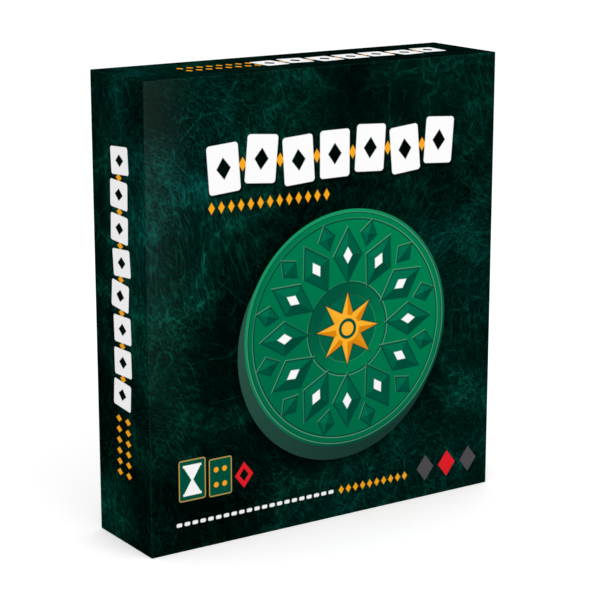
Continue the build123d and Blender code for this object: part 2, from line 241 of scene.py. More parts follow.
# Base wrap: thin art paper glued over the base board and turned in over its rim.
# It is printed all over with a dark green marbled leather, matt laminated.
EDGE_ROUND = 0.0012        # width of the worn strip at a folded edge
HIDE_BLACK = ink(0, 6, 5)
HIDE_DARK = ink(0, 19, 15)
HIDE_GREEN = ink(9, 86, 69)
HIDE_TEAL = ink(4, 82, 86)
HIDE_DRIFT = 0.042         # how far the strokes are drawn out of line
# each lay of strokes: how far it is turned, and where its patches start
STROKE_LAYS = ((0.36, (0, 0, 0)), (0.92, (3, 0, 1)), (-0.68, (0, 5, 2)))
# each net of creases: its scale, a crease's width in cells, and its strength
CREASE_NETS = ((26, 0.022, 0.46), (60, 0.034, 0.34))


def hide_strokes(place, bent, turn, start):
    """One lay of soft strokes and finer broken hairs, in patches."""
    lay = (turn * 0.8, turn, 0)
    strokes = bent.stretched((1.0, 1.0, 0.19), lay).noise(700, 2).ramp(0.50, 0.78)
    scratched = bent.stretched((1.0, 1.0, 0.15), lay)
    hairs = scratched.cell_edge(400).ramp(0.0, 0.13, 1.0, 0.0) * scratched.noise(330, 2).ramp(0.46, 0.60)
    patches = place.vector("ADD", start).noise(17, 3, 0.6).ramp(0.42, 0.62)
    return (strokes * 0.50 + hairs * 0.64) * patches


def marbled_leather(place):
    """The hide's colour, and how light its strokes and creases are."""
    drift = place.noise(10, 2, output="Color").vector("SUBTRACT", (0.5, 0.5, 0.5))
    bent = drift.vector("MULTIPLY", (HIDE_DRIFT, HIDE_DRIFT, HIDE_DRIFT)).vector("ADD", place)
    light = 0.0
    for turn, start in STROKE_LAYS:
        light = hide_strokes(place, bent, turn, start).most(light)
    # the strokes are lighter along soft folds, and a thin broken crease follows each fold
    bend = abs(place.noise(12, 4, 0.55) - 0.5)
    fold = bend.ramp(0.0, 0.075, 1.0, 0.0)
    light = light * (fold * 0.75 + 0.5) + fold * 0.07
    ragged = place.noise(260, 3, 0.6)
    light = light + bend.ramp(0.0, 0.008, 0.42, 0.0) * ragged.ramp(0.38, 0.60)
    for scale, width, strength in CREASE_NETS:
        broken = place.noise(scale * 0.9, 2).ramp(0.48, 0.64) * ragged.ramp(0.36, 0.62)
        light = light + bent.cell_edge(scale).ramp(0.0, width, strength, 0.0) * broken
    # whole regions of the hide are darker than others
    region = place.noise(8).ramp(0.38, 0.64)
    light = light.least(1.0) * (region * 0.62 + 0.38)
    colour = light.blend(region.blend(HIDE_BLACK, HIDE_DARK), HIDE_GREEN)
    teal = place.noise(7, 2).ramp(0.52, 0.68) * light
    return (teal * 0.7).blend(colour, HIDE_TEAL), light


def edge_wear(place):
    """1 on the folded edges of the box, where the laminate is rubbed a little."""
    sides = []
    for part, (low, high) in zip(place.parts(), zip(*cad_box)):
        half = (high - low) / 2
        sides.append(abs(part - (low + high) / 2).ramp(half - EDGE_ROUND, half))
    x_side, y_side, z_side = sides
    return (x_side * y_side).most(x_side * z_side).most(y_side * z_side)


def finish_paper(shader, place, colour, relief):
    """Laminated paper: rubbed at the folded edges, and a little raised where the hide is light."""
    rubbed = edge_wear(place) * place.noise(900, 4, 0.7).ramp(0.44, 0.6)
    grain = place.noise(2400, 2)
    connect(shader, Base_Color=(rubbed * 0.16).blend(colour, ink(60, 96, 84)))
    connect(shader, Roughness=grain * 0.12 + rubbed * 0.2 - relief * 0.05 + 0.5)
    connect(shader, Normal=(grain * 0.2 + relief * 0.5).bump(0.12, 0.00015))


def base_print_finish():
    finish, shader, place = new_finish("base_leather_print", Specular_IOR_Level=0.0)
    colour, relief = marbled_leather(place)
    finish_paper(shader, place, colour, relief)
    return finish


wear(nodes["base_wrap"], base_print_finish())

# Storage tray: black polystyrene sheet, heated and drawn down over a mould by vacuum.
# One sheet makes the round recess, the tile channels and the corner pockets. Its edges
# come out round, because the hot sheet bridges every corner of the mould.
SHEET_EDGE = 0.00045
JOIN_REACH = 0.00001       # corners of a CAD node's triangles this close are one corner
ROUND_FROM = radians(30)   # an edge that turns by more is rounded
SMOOTH_UP_TO = radians(35)


def only(piece):
    """Selects that piece alone and makes it the active one."""
    bpy.ops.object.select_all(action="DESELECT")
    piece.select_set(True)
    bpy.context.view_layer.objects.active = piece


def apply_modifier(piece, kind, **settings):
    only(piece)
    modifier = piece.modifiers.new(kind.lower(), kind)
    for name, value in settings.items():
        setattr(modifier, name, value)
    bpy.ops.object.modifier_apply(modifier=modifier.name)


def copy_of(piece, name):
    """A copy with its own mesh, selected alone."""
    only(piece)
    bpy.ops.object.duplicate(linked=False)
    copy = bpy.context.object
    copy.name = name
    return copy


def smoothed(piece):
    """Smooth across rounded edges, while the flats beside them stay flat."""
    only(piece)
    bpy.ops.object.shade_smooth_by_angle(angle=SMOOTH_UP_TO)
    apply_modifier(piece, "WEIGHTED_NORMAL", keep_sharp=True)


def rounded(node, name, edge, segments=2):
    """A CAD node's shape as a new piece: its triangles joined again, then its edges rounded."""
    piece = copy_of(nodes[node], name)
    bpy.ops.object.parent_clear(type="CLEAR_KEEP_TRANSFORM")
    del piece["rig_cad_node"]
    bpy.ops.object.mode_set(mode="EDIT")
    bpy.ops.mesh.select_all(action="SELECT")
    bpy.ops.mesh.remove_doubles(threshold=JOIN_REACH)
    bpy.ops.object.mode_set(mode="OBJECT")
    apply_modifier(
        piece, "BEVEL", width=edge, segments=segments, limit_method="ANGLE",
        angle_limit=ROUND_FROM, loop_slide=False, use_clamp_overlap=False,
    )
    smoothed(piece)
    return piece


def fit(piece, node, finish):
    """The piece takes the CAD node's place on its body and wears that finish; the CAD node is hidden."""
    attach(piece, nodes[node]["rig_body"])
    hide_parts(node)
    wear(piece, finish)


def tray_finish():
    finish, shader, place = new_finish("formed_black_plastic", Specular_IOR_Level=0.4)
    peel = place.noise(420, 3, 0.55)
    drawn = place.stretched((1.0, 0.25, 1.0)).noise(90, 2)
    dust = place.noise(2800, 1).ramp(0.66, 0.76)
    colour = (drawn * 0.8 + peel * 0.2).ramp(0.35, 0.68).blend(ink(17, 19, 19), ink(31, 34, 33))
    connect(shader, Base_Color=(dust * 0.12).blend(colour, ink(120, 122, 118)))
    connect(shader, Roughness=peel * 0.25 + drawn * 0.1 + 0.2)
    connect(shader, Normal=(peel * 0.7 + drawn * 0.3).bump(0.25, 0.0003))
    return finish


fit(rounded("storage_tray", "formed_tray", SHEET_EDGE, 3), "storage_tray", tray_finish())

# Stand's foot: dark green moulded disc with the bearing boss, the ring channel and eight ribs.
# Four rubber pads are pressed into pockets under it and keep it from sliding on a table.
FOOT_EDGE = 0.0003
PAD_EDGE = 0.0005
FLOW_RINGS = 260           # faint rings round the gate, in radians of their wave per metre

foot_low, foot_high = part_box("stand_foot")
stand_axis = ((foot_low.x + foot_high.x) / 2, (foot_low.z + foot_high.z) / 2)


def from_stand_axis(place):
    """How far a point is from the axis that the deck turns on."""
    x, _, z = place.parts()
    return ((x - stand_axis[0]) ** 2 + (z - stand_axis[1]) ** 2) ** 0.5


def moulded_finish(name, dark, light, rough):
    """Injection-moulded plastic with a fine spark-eroded grain and faint flow marks round its gate."""
    finish, shader, place = new_finish(name, Specular_IOR_Level=0.35)
    swirl = place.noise(38, 3, 0.6)
    flow = (from_stand_axis(place) * FLOW_RINGS + swirl * 5).wave()
    grain = place.noise(3600, 2, 0.6)
    colour = (swirl * 0.85 + flow * 0.15).ramp(0.3, 0.72).blend(dark, light)
    connect(shader, Base_Color=colour)
    connect(shader, Roughness=grain * 0.16 + swirl * 0.1 + rough)
    connect(shader, Normal=grain.bump(0.18, 0.0002))
    return finish


def rubber_finish():
    finish, shader, place = new_finish("pad_black_rubber", Specular_IOR_Level=0.25)
    bloom = place.noise(300, 3, 0.6)
    pits = place.noise(2200, 2)
    colour = bloom.ramp(0.4, 0.7).blend(ink(24, 24, 25), ink(44, 44, 45))
    connect(shader, Base_Color=colour, Roughness=pits.ramp(0.3, 0.7, 0.7, 0.9))
    connect(shader, Normal=(pits + bloom * 0.5).bump(0.3, 0.0002))
    return finish


foot_green = moulded_finish("foot_dark_green", ink(14, 52, 42), ink(24, 70, 56), 0.34)
fit(rounded("stand_foot", "moulded_foot", FOOT_EDGE), "stand_foot", foot_green)
fit(rounded("foot_pads", "rubber_pads", PAD_EDGE, 3), "foot_pads", rubber_finish())

# Glide ring: a flat ring turned from white acetal and laid in the foot's channel.
# The deck runs on its top, which is polished a little by wear.
RING_EDGE = 0.0004
TURNING_MARKS = 9000       # rings that the lathe leaves, in radians of their wave per metre


def acetal_finish():
    finish, shader, place = new_finish("glide_white_acetal", Specular_IOR_Level=0.5)
    turned = (from_stand_axis(place) * TURNING_MARKS).wave()
    rub = place.noise(180, 3, 0.6)
    connect(shader, Base_Color=rub.ramp(0.4, 0.7).blend(ink(236, 234, 226), ink(214, 211, 202)))
    connect(shader, Roughness=rub * 0.2 + turned * 0.05 + 0.22)
    connect(shader, Normal=(turned * 0.5 + rub * 0.5).bump(0.1, 0.0001))
    return finish


fit(rounded("glide_ring", "acetal_ring", RING_EDGE, 3), "glide_ring", acetal_finish())

# Spindle: steel shoulder screw with a hexagon socket, turned and zinc plated, and its washer.
# It goes up through the foot's boss into the deck's hub, and holds the two together.
SPINDLE_EDGE = 0.0003
SPINDLE_HEAD = 0.0026
SPINDLE_SHOULDER = 0.0030  # radius
THREAD_RADIUS = 0.00195
THREAD_LONG = 0.010
THREAD_TIP = 0.0015
TIP_SHARE = 0.6            # of the thread's radius that is left at the tip
SOCKET_RADIUS = 0.0018
SOCKET_DEEP = 0.0015
HEAD_CORNERS = 72
KNURL_EDGE = 0.00008
KNURL_DEEP = 0.00010
SHOULDER_PLAY = 0.00005
WASHER_EDGE = 0.00015
GREASE_FILM = 0.00002      # between the washer and the screw's head


def steel_finish():
    finish, shader, place = new_finish("zinc_plated_steel", Metallic=1.0)
    plating = place.noise(900, 3, 0.6)
    streaks = place.stretched((1.0, 0.12, 1.0)).noise(2600, 2)
    colour = plating.ramp(0.35, 0.68).blend(ink(168, 170, 172), ink(206, 207, 206))
    connect(shader, Base_Color=colour)
    connect(shader, Roughness=plating * 0.18 + streaks * 0.14 + 0.16)
    connect(shader, Normal=streaks.bump(0.12, 0.0001))
    return finish


def select_faces(piece, chosen):
    """In edit mode, selects the faces that chosen(face) picks, and nothing else."""
    bpy.ops.object.mode_set(mode="EDIT")
    bpy.ops.mesh.select_mode(type="FACE")
    bpy.ops.mesh.select_all(action="DESELECT")
    bpy.ops.object.mode_set(mode="OBJECT")
    for face in piece.data.polygons:
        face.select = chosen(face)
    bpy.ops.object.mode_set(mode="EDIT")


def settle(piece):
    """Puts the piece's place, turn and scale into its mesh."""
    only(piece)
    bpy.ops.object.transform_apply(location=True, rotation=True, scale=True)


def extruded(along, share=1.0):
    """Draws the selected face out along the stand's axis, and keeps that share of its width."""
    bpy.ops.mesh.extrude_region_move(TRANSFORM_OT_translate={"value": (0, along, 0)})
    bpy.ops.transform.resize(value=(share, share, share))


def cylinder(radius, length, middle, corners=64):
    """A round bar on the stand's axis, its middle at that depth in the box."""
    bpy.ops.object.select_all(action="DESELECT")
    bpy.ops.mesh.primitive_cylinder_add(
        vertices=corners, radius=radius, depth=length,
        location=(stand_axis[0], middle, stand_axis[1]), rotation=(pi / 2, 0, 0),
    )
    return bpy.context.object


def cut(piece, cutter):
    apply_modifier(piece, "BOOLEAN", operation="DIFFERENCE", object=cutter, solver="EXACT")
    bpy.data.objects.remove(cutter)


steel = steel_finish()
spindle_low, spindle_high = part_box("spindle_screw")
head_foot = spindle_high.y - SPINDLE_HEAD
spindle_head = (spindle_high.x - spindle_low.x) / 2
spindle = cylinder(spindle_head, SPINDLE_HEAD, spindle_high.y - SPINDLE_HEAD / 2, HEAD_CORNERS)
spindle.name = "shoulder_screw"
settle(spindle)
select_faces(spindle, lambda face: abs(face.normal.y) > 0.99)
bpy.ops.mesh.bevel(offset=SPINDLE_EDGE, segments=2, affect="EDGES")
bpy.ops.object.mode_set(mode="OBJECT")
select_faces(spindle, lambda face: face.normal.y < -0.99)
bpy.ops.mesh.inset(thickness=spindle_head - SPINDLE_EDGE - SPINDLE_SHOULDER, depth=0)
extruded(-(spindle_high.y - spindle_low.y - SPINDLE_HEAD - THREAD_LONG))
bpy.ops.mesh.inset(thickness=SPINDLE_SHOULDER - THREAD_RADIUS, depth=0)
extruded(-(THREAD_LONG - THREAD_TIP))
extruded(-THREAD_TIP, TIP_SHARE)
bpy.ops.object.mode_set(mode="OBJECT")
# a straight knurl round the head, for the fingers: each narrow face is pressed in a little
select_faces(spindle, lambda face: abs(face.normal.y) < 0.01 and face.center.y > head_foot)
bpy.ops.mesh.inset(thickness=KNURL_EDGE, depth=-KNURL_DEEP, use_individual=True)
bpy.ops.object.mode_set(mode="OBJECT")
cut(spindle, cylinder(SOCKET_RADIUS, SOCKET_DEEP * 2, spindle_high.y, 6))
smoothed(spindle)
fit(spindle, "spindle_screw", steel)

washer_low, washer_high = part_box("spindle_washer")
washer_thick = washer_high.y - washer_low.y - GREASE_FILM
washer_middle = washer_low.y + washer_thick / 2
washer = cylinder((washer_high.x - washer_low.x) / 2, washer_thick, washer_middle)
washer.name = "flat_washer"
cut(washer, cylinder(SPINDLE_SHOULDER + SHOULDER_PLAY, washer_thick * 2, washer_middle))
settle(washer)
apply_modifier(washer, "BEVEL", width=WASHER_EDGE, segments=2, limit_method="ANGLE", loop_slide=False)
smoothed(washer)
fit(washer, "spindle_washer", steel)

# Stand's deck: green moulded square with cut corners, sixteen wells for tiles and a round dial.
# The plate screwed up under it closes its hollow and turns on the foot's boss.
DECK_EDGE = 0.0004
PLATE_EDGE = 0.0003

deck_green = moulded_finish("deck_green_plastic", ink(0, 104, 68), ink(2, 126, 80), 0.26)
plate_green = moulded_finish("plate_dark_green", ink(22, 66, 54), ink(36, 82, 68), 0.34)
fit(rounded("stand_deck", "moulded_deck", DECK_EDGE), "stand_deck", deck_green)
fit(rounded("deck_plate", "cover_plate", PLATE_EDGE), "deck_plate", plate_green)

# Deck screws: four self-tapping steel screws with pan heads and a cross recess.
# They are driven up from below, through the plate and into the deck's bosses.
SCREW_SPREAD = 0.045       # from the stand's axis, along both sides
SCREW_HEAD = 0.0016
SCREW_SHANK = 0.0015       # radius
SCREW_POINT = 0.0022
POINT_SHARE = 0.25         # of the shank's radius that is left at the point
HEAD_DOME = 0.0007
CROSS_LONG = 0.0033
CROSS_WIDE = 0.0008
CROSS_DEEP = 0.0010

screws_low, screws_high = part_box("deck_screws")
head_radius = (screws_high.x - screws_low.x) / 2 - SCREW_SPREAD
bpy.ops.object.select_all(action="DESELECT")
bpy.ops.mesh.primitive_cylinder_add(
    vertices=32, radius=head_radius, depth=SCREW_HEAD,
    location=(0, screws_high.y - SCREW_HEAD / 2, 0), rotation=(pi / 2, 0, 0),
)
screw = bpy.context.object
settle(screw)
select_faces(screw, lambda face: face.normal.y > 0.99)
bpy.ops.mesh.bevel(offset=HEAD_DOME, segments=4, affect="EDGES")
bpy.ops.object.mode_set(mode="OBJECT")
select_faces(screw, lambda face: face.normal.y < -0.99)
bpy.ops.mesh.inset(thickness=head_radius - SCREW_SHANK, depth=0)
extruded(-(screws_high.y - screws_low.y - SCREW_HEAD - SCREW_POINT))
extruded(-SCREW_POINT, POINT_SHARE)
bpy.ops.object.mode_set(mode="OBJECT")
for arm in ((CROSS_LONG, CROSS_DEEP * 2, CROSS_WIDE), (CROSS_WIDE, CROSS_DEEP * 2, CROSS_LONG)):
    bpy.ops.object.select_all(action="DESELECT")
    bpy.ops.mesh.primitive_cube_add(size=1, scale=arm, location=(0, screws_high.y, 0))
    cut(screw, bpy.context.object)
smoothed(screw)
for number in range(4):
    side, end = divmod(number, 2)
    deck_screw = copy_of(screw, "deck_screw_" + str(number + 1))
    deck_screw.location = (
        stand_axis[0] + SCREW_SPREAD * (2 * side - 1), 0, stand_axis[1] + SCREW_SPREAD * (2 * end - 1)
    )
    settle(deck_screw)
    fit(deck_screw, "deck_screws", steel)
bpy.data.objects.remove(screw)

# Centre cap: green moulded disc that snaps into the dial and hides the spindle's hub.
# Two turning arrows, a dot and two fine rings are printed on it.
CAP_EDGE = 0.0003
CAP_PRINT = 0.0282         # radius that the print keeps to
ARROW_RADIUS = 0.0175
ARROW_HALF = 0.0024        # half the shaft's width
ARROW_TAIL = 0.019         # how far the shaft reaches back along its arc
ARROW_NECK = 0.0125        # how far it reaches forward
ARROW_HEAD = 0.0052        # half the head's width
HEAD_SLOPE = 0.8           # how fast the head narrows to its point
HEAD_OVERLAP = 0.0005      # of the head and the shaft
ARROW_TURN = 0.15          # how far the arrows are turned, in half turns
CAP_RINGS = (0.0262, 0.0088)
CAP_RING_HALF = 0.0003
CAP_DOT = 0.0045


def inside(distance, soft=0.00022):
    """1 where a distance is under nought, 0 beyond it, with a hair-thin ramp between."""
    return distance.ramp(-soft, soft, 1.0, 0.0)


def cap_finish():
    finish, shader, place = new_finish("cap_green_print", Specular_IOR_Level=0.35)
    x, _, z = place.parts()
    radius = from_stand_axis(place)
    grain = place.noise(3600, 2, 0.6)
    swirl = place.noise(45)
    # the way along an arrow's arc from its middle, and the way across it
    turn = (z - stand_axis[1]).math("ARCTAN2", x - stand_axis[0]) / pi + ARROW_TURN
    along = (turn.math("FRACT") - 0.5) * (pi * ARROW_RADIUS)
    across = abs(radius - ARROW_RADIUS)
    shaft = inside(across - ARROW_HALF) * inside(along - ARROW_NECK) * inside(-along - ARROW_TAIL)
    head = inside(across + (along - ARROW_NECK) * HEAD_SLOPE - ARROW_HEAD)
    head = head * inside(-along + (ARROW_NECK - HEAD_OVERLAP))
    outer_ring, inner_ring = (inside(abs(radius - ring) - CAP_RING_HALF) for ring in CAP_RINGS)
    face = inside(radius - CAP_PRINT)
    orange = shaft.most(head).most(inside(radius - CAP_DOT)) * face
    colour = swirl.ramp(0.35, 0.68).blend(ink(0, 96, 64), ink(0, 112, 74))
    colour = (outer_ring.most(inner_ring) * face * 0.8).blend(colour, ink(120, 178, 146))
    colour = orange.blend(colour, ink(248, 168, 34))
    connect(shader, Base_Color=colour)
    connect(shader, Roughness=grain * 0.14 + orange * 0.12 + 0.28)
    connect(shader, Normal=(grain * 0.25 + orange * 0.6).bump(0.16, 0.0002))
    return finish


fit(rounded("centre_cap", "printed_cap", CAP_EDGE), "centre_cap", cap_finish())

# Letter tiles: dark green moulded squares with rounded edges and a shallow framed face.
# Sixteen lie in the deck's wells, and three rows of 28 stand on edge in the tray's channels.
TILE_EDGE = 0.00045
TILE_FRAME = 0.0013
TILE_DISH = 0.00022
LETTER_SIZE = 0.014175     # a capital is about three quarters as high
LETTER_PROUD = 0.00006
WELLS_A_SIDE = 4
ROW_TILES = 28


def tile_finish():
    finish, shader, place = new_finish("tile_green_plastic", Specular_IOR_Level=0.35)
    swirl = place.noise(60, 3, 0.6)
    tone = place.noise(33, 1)
    grain = place.noise(3800, 2, 0.6)
    colour = (swirl * 0.5 + tone * 0.5).ramp(0.34, 0.66).blend(ink(0, 74, 54), ink(2, 96, 70))
    connect(shader, Base_Color=colour)
    connect(shader, Roughness=grain * 0.16 + swirl * 0.08 + 0.24)
    connect(shader, Normal=grain.bump(0.16, 0.0002))
    return finish


def letter_finish():
    finish, shader, place = new_finish("letter_white_print", Specular_IOR_Level=0.3)
    rub = place.noise(2600, 3, 0.65)
    connect(shader, Base_Color=rub.ramp(0.55, 0.75).blend(ink(246, 246, 242), ink(206, 216, 208)))
    connect(shader, Roughness=rub.ramp(0.3, 0.7, 0.42, 0.6))
    return finish


tile_plastic = tile_finish()
letter_print = letter_finish()
well_low, well_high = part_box("stand_tiles")
row_low, row_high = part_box("tile_row_1")
tile_side = row_high.y - row_low.y
tile_thick = well_high.y - well_low.y
row_step = (row_high.x - row_low.x - tile_thick) / (ROW_TILES - 1)

bpy.ops.object.select_all(action="DESELECT")
bpy.ops.mesh.primitive_cube_add(size=1, scale=(tile_side, tile_thick, tile_side))
tile = bpy.context.object
tile.name = "letter_tile_pattern"
settle(tile)
apply_modifier(tile, "BEVEL", width=TILE_EDGE, segments=3, limit_method="ANGLE")
select_faces(tile, lambda face: face.normal.y < -0.99)
bpy.ops.mesh.inset(thickness=TILE_FRAME, depth=0)
bpy.ops.mesh.inset(thickness=TILE_DISH, depth=-TILE_DISH)
bpy.ops.object.mode_set(mode="OBJECT")
smoothed(tile)


def letter_mark(letter, place, turn):
    """A printed letter, its middle at place, turned in the plane of the tile's face."""
    bpy.ops.object.select_all(action="DESELECT")
    bpy.ops.object.text_add()
    mark = bpy.context.object
    mark.name = "well_letter_" + letter
    mark.data.body = letter
    mark.data.size = LETTER_SIZE
    mark.data.extrude = LETTER_PROUD / 2
    only(mark)
    bpy.ops.object.convert(target="MESH")
    bpy.ops.object.origin_set(type="ORIGIN_GEOMETRY", center="BOUNDS")
    mark.rotation_euler = turn
    mark.location = place
    settle(mark)
    return mark


pitch = (well_high.x - well_low.x - tile_side) / (WELLS_A_SIDE + 1)
away = pitch * (WELLS_A_SIDE + 1) / 2
face_y = well_low.y + TILE_DISH - LETTER_PROUD / 2
for number, letter in enumerate("ABCDEFGHIJKLMNOP"):
    side, step = divmod(number, WELLS_A_SIDE)
    out = radians(90 * side) - pi / 2
    along = (step - (WELLS_A_SIDE - 1) / 2) * pitch
    x = away * cos(out) - along * sin(out) + stand_axis[0]
    z = away * sin(out) + along * cos(out) + stand_axis[1]
    well_tile = copy_of(tile, "well_tile_" + letter)
    well_tile.location = (x, (well_low.y + well_high.y) / 2, z)
    settle(well_tile)
    fit(well_tile, "stand_tiles", tile_plastic)
    mark = letter_mark(letter, (x, face_y, z), (pi / 2, -(out + pi / 2), 0))
    fit(mark, "stand_tiles", letter_print)

for number in (1, 2, 3):
    low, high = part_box("tile_row_" + str(number))
    row = copy_of(tile, "stored_tiles_" + str(number))
    row.rotation_euler = (0, 0, pi / 2)
    row.location = (low.x + tile_thick / 2, (low.y + high.y) / 2, (low.z + high.z) / 2)
    settle(row)
    apply_modifier(
        row, "ARRAY", count=ROW_TILES, use_relative_offset=False,
        use_constant_offset=True, constant_offset_displace=(row_step, 0, 0),
    )
    fit(row, "tile_row_" + str(number), tile_plastic)
bpy.data.objects.remove(tile)

# Rules booklet: one folded sheet of coated paper round plain pages, stapled through the fold.
# The cover is printed like the box, and its cut and folded edges are a little soft.
PAPER_EDGE = 0.00008
WIRE_ROUND = 0.00018
COVER_PANEL = (0.064, 0.0925)   # half the hide panel's width and height; a pale border is left
COVER_LINE = (0.059, 0.0875)    # the same of the fine frame on it
COVER_LINE_HALF = 0.0004
CREST = (0.026, 0.036)          # the same of the lozenge in the middle
CREST_INNER = 0.72              # its pale heart, as a share of it
CREST_REACH = 0.02              # turns the lozenge's measure into metres, for a crisp edge
PAGE_LINES = 42000              # sheets on the cut edge, in radians of their wave per metre


def rules_cover_finish():
    finish, shader, place = new_finish("rules_printed_paper", Specular_IOR_Level=0.3)
    low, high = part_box("rules_cover")
    x, _, z = place.parts()
    u = abs(x - (low.x + high.x) / 2)
    w = abs(z - (low.z + high.z) / 2)
    leather, _ = marbled_leather(place)
    grain = place.noise(2600, 3, 0.6)
    panel = inside(u - COVER_PANEL[0]) * inside(w - COVER_PANEL[1])
    line = inside(abs((u - COVER_LINE[0]).most(w - COVER_LINE[1])) - COVER_LINE_HALF)
    lozenge = u / CREST[0] + w / CREST[1]
    crest = inside((lozenge - 1.0) * CREST_REACH)
    inner = inside((lozenge - CREST_INNER) * CREST_REACH)
    colour = grain.ramp(0.35, 0.65).blend(ink(236, 233, 222), ink(245, 243, 234))
    colour = panel.blend(colour, leather)
    colour = line.blend(colour, ink(240, 166, 40))
    colour = crest.blend(colour, ink(0, 112, 74))
    colour = inner.blend(colour, ink(238, 236, 226))
    connect(shader, Base_Color=colour)
    connect(shader, Roughness=grain * 0.14 + 0.36)
    connect(shader, Normal=(grain * 0.3).bump(0.12, 0.0001))
    return finish


def pages_finish():
    finish, shader, place = new_finish("rules_plain_paper", Specular_IOR_Level=0.2)
    sheets = (place.parts()[1] * PAGE_LINES).wave()
    grain = place.noise(2600, 3, 0.6)
    colour = (grain * 0.6 + sheets * 0.4).ramp(0.2, 0.8).blend(ink(206, 202, 190), ink(240, 237, 226))
    connect(shader, Base_Color=colour, Roughness=grain.ramp(0.3, 0.7, 0.75, 0.9))
    connect(shader, Normal=(sheets * 0.6 + grain * 0.4).bump(0.3, 0.0001))
    return finish


cover = rounded("rules_cover", "folded_cover", PAPER_EDGE)
fit(cover, "rules_cover", rules_cover_finish())
fit(rounded("rules_pages", "inner_pages", PAPER_EDGE), "rules_pages", pages_finish())
fit(rounded("rules_staples", "wire_staples", WIRE_ROUND, 3), "rules_staples", steel)

# Lid wrap: the printed paper of the lid, glued over its board and turned in over the rim.
# Green leather all over; blank tiles, small lozenges and a round rosette are printed on it, with painted
# sheen, painted shade and painted shadows.
PRINT_SKIN = 0.00015       # the print covers what lies this close to an outer face
SKIN_SOFT = 0.00002
TILE_WHITE = ink(250, 250, 250)
PRINT_ORANGE = ink(247, 167, 30)
PRINT_GOLD = ink(196, 160, 84)
PRINT_RED = ink(226, 32, 42)
PRINT_GREY = ink(78, 76, 80)
PAINTED_SHADOW_BLACK = ink(0, 4, 4)
PAINTED_SHEEN_GREY = ink(62, 82, 74)
PAINTED_SHADE_BLACK = ink(0, 5, 5)
# each row of tiles, lozenges or dashes: its middle across and up, the step from one to the next,
# how many there are, and half the width and height of one
FRONT_TILES = (0.004, 0.2195, 0.0248, 7, 0.0102, 0.0138)
FRONT_LOZENGES = (-0.040, 0.1965, 0.0064, 13, 0.0021, 0.0034)
RULE_DASHES = (-0.0498, 0.0163, 0.0052, 21, 0.0018, 0.0011)
RULE_LOZENGES = (0.0330, 0.0163, 0.0052, 10, 0.0019, 0.0026)
CORNER_GEMS = (0.0885, 0.0185, 0.0165, 3, 0.0064, 0.0082)
SIDE_TILES = (0.1560, 0.0005, 0.0192, 8, 0.0078, 0.0098)
SIDE_LOZENGES = (0.0580, 0.0052, 0.0064, 6, 0.0021, 0.0032)
END_TILES = (0.0355, 0.0, 0.0190, 7, 0.0078, 0.0098)
END_LOZENGES = (-0.0545, 0.0052, 0.0064, 8, 0.0021, 0.0032)
DASH_CORNER = 0.0008


def rounded_block(u, w, half_u, half_w, corner):
    """Distance from a rounded rectangle's outline, under nought inside it."""
    over_u = abs(u) - (half_u - corner)
    over_w = abs(w) - (half_w - corner)
    outside = (over_u.most(0.0) ** 2 + over_w.most(0.0) ** 2) ** 0.5
    return outside + over_u.most(over_w).least(0.0) - corner


def lozenge_at(u, w, half_u, half_w):
    """Distance from a lozenge's outline, near enough for a crisp print."""
    return (abs(u) / half_u + abs(w) / half_w - 1.0) * (min(half_u, half_w) * 0.7)


def repeat(u, step, count):
    """The distance from the nearest of count places, step apart about nought, and its number."""
    last = (count - 1) / 2
    number = (u / step + last).math("ROUND").most(0.0).least(count - 1.0) - last
    return u - number * step, number


def lozenge_row(u, w, row):
    """Mask of a row of lozenges, and the nearest one's number, counted from the middle."""
    middle_u, middle_w, step, count, half_u, half_w = row
    near, number = repeat(u - middle_u, step, count)
    return inside(lozenge_at(near, w - middle_w, half_u, half_w)), number


def tile_frieze(u, w, row):
    """Masks of blank tiles that lie a little askew, of the lozenges between them, and their painted
    shadow.
    """
    middle_u, middle_w, step, count, half_u, half_w = row
    across = u - middle_u
    up = w - middle_w
    near, number = repeat(across, step, count)
    askew = (number * 2.4).math("SINE")
    lean = askew * 0.09
    lifted = up - askew * (half_w * 0.13)
    turned_u = near - lifted * lean
    turned_w = lifted + near * lean
    corner = half_u * 0.2
    block = rounded_block(turned_u, turned_w, half_u, half_w, corner)
    shade = rounded_block(turned_u - half_u * 0.07, turned_w + half_w * 0.08, half_u, half_w, corner)
    mark = lozenge_at(turned_u, turned_w, half_u * 0.46, half_w * 0.46)
    gap = step / 2 - half_u
    between, _ = repeat(across, step, count - 1)
    small = lozenge_at(between, up, gap * 1.2, gap * 1.8)
    tiles = inside(block) * (1 - inside(mark))
    return tiles, inside(small), shade.ramp(-half_u * 0.04, half_u * 0.16, 0.85, 0.0)


def shade_front(colour, front, place):
    """The front's hide with a painted sheen, paler and greyer, down the left edge, and painted shade,
    nearly black, in one band above.
    """
    x, _, z = place.parts()
    speckle = place.noise(1500, 3, 0.7).ramp(0.3, 0.7, 0.5, 1.0)
    # painted sheen: the left edge of the front is paler and greyer, broken up by a speckle
    painted_sheen = x.ramp(-0.120, -0.088, 1.0, 0.0) * z.ramp(0.05, 0.24) * speckle
    colour = (front * painted_sheen * 0.24).blend(colour, PAINTED_SHEEN_GREY)
    # painted shade: a nearly black slanting band near the top of the front
    fold = abs(x - 0.012 - (z - 0.24) * 0.25).ramp(0.004, 0.030, 0.85, 0.0) * z.ramp(0.17, 0.25)
    return (front * fold).blend(colour, PAINTED_SHADE_BLACK)


